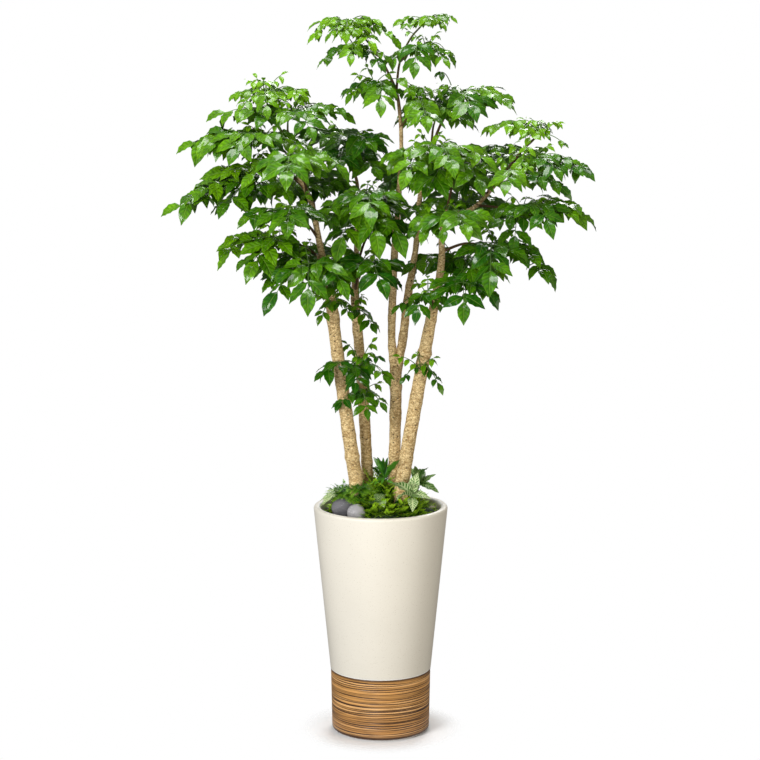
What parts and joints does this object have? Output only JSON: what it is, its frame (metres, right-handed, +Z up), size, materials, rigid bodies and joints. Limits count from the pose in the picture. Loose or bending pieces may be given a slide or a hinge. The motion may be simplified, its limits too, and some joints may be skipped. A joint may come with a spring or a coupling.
{
  "type": "potted china doll plant",
  "caption": "Floor-standing china doll plant: woody canes with glossy compound leaves over a mossy underplanting, in a tapered cream pot with a wood-look foot.",
  "frame": {"origin": "on the pot's axis at its underside, where the plant stands", "axes": "+Z up along the pot's axis; the front, as in the picture, looks along -Y; +X to the viewer's right"},
  "size_m": [1.0064, 0.7555, 1.7086],
  "materials": {
    "pot_cream": "satin speckled",
    "band_wood": "satin, grooved all round",
    "soil_bark": "rough bark chips",
    "cane_bark": "matte bark",
    "leaf": "glossy leaf",
    "young_leaf": "glossy leaf",
    "variegated": "satin leaf",
    "dark_leaf": "satin leaf",
    "fern": "matte leaf",
    "moss": "matte moss",
    "pebble_dark": "smooth pebble",
    "pebble_grey": "smooth pebble",
    "pebble_beige": "smooth pebble"
  },
  "bodies": {
    "root": {"pot_shell": "pot_cream", "pot_band": "band_wood", "soil": "soil_bark", "pebble_dark": "pebble_dark", "pebble_grey": "pebble_grey", "pebble_beige": "pebble_beige", "moss_front": "moss", "moss_right": "moss", "moss_back": "moss", "moss_left": "moss", "fern": "fern", "rosette_front": "variegated", "rosette_right": "variegated", "small_variegated": "variegated", "dark_plant": "dark_leaf", "cane_left": "cane_bark", "cane_back": "cane_bark", "cane_centre": "cane_bark", "cane_right": "cane_bark", "shoot_left_top": "young_leaf", "shoot_left_high": "leaf", "shoot_left_tier": "leaf", "shoot_left_front": "leaf", "shoot_left_far": "leaf", "shoot_left_inner": "leaf", "shoot_left_mid": "leaf", "shoot_left_low": "leaf", "shoot_left_back": "leaf", "shoot_left_back_low": "leaf", "shoot_left_sprout": "leaf", "shoot_back_top": "leaf", "shoot_middle": "leaf", "shoot_middle_low": "leaf", "shoot_back_low": "leaf", "shoot_trunk_sprout_high": "leaf", "shoot_trunk_sprout": "leaf", "shoot_trunk_sprout_low": "leaf", "shoot_top_left": "young_leaf", "shoot_top_left_low": "leaf", "shoot_top_right": "young_leaf", "shoot_top_right_low": "leaf", "shoot_high_left": "leaf", "shoot_high_right": "leaf", "shoot_crown_right": "leaf", "shoot_centre_front": "young_leaf", "shoot_crown_back": "leaf", "shoot_centre_back": "leaf", "shoot_right_top": "young_leaf", "shoot_right_far": "leaf", "shoot_right_tier": "leaf", "shoot_right_reach": "leaf", "shoot_right_mid": "leaf", "shoot_right_front": "leaf", "shoot_right_up": "leaf", "shoot_right_low": "leaf", "shoot_right_low_front": "leaf", "shoot_right_back": "leaf", "shoot_right_back_high": "leaf", "shoot_right_back_low": "leaf", "shoot_right_sprout": "leaf"}
  },
  "joints": []
}
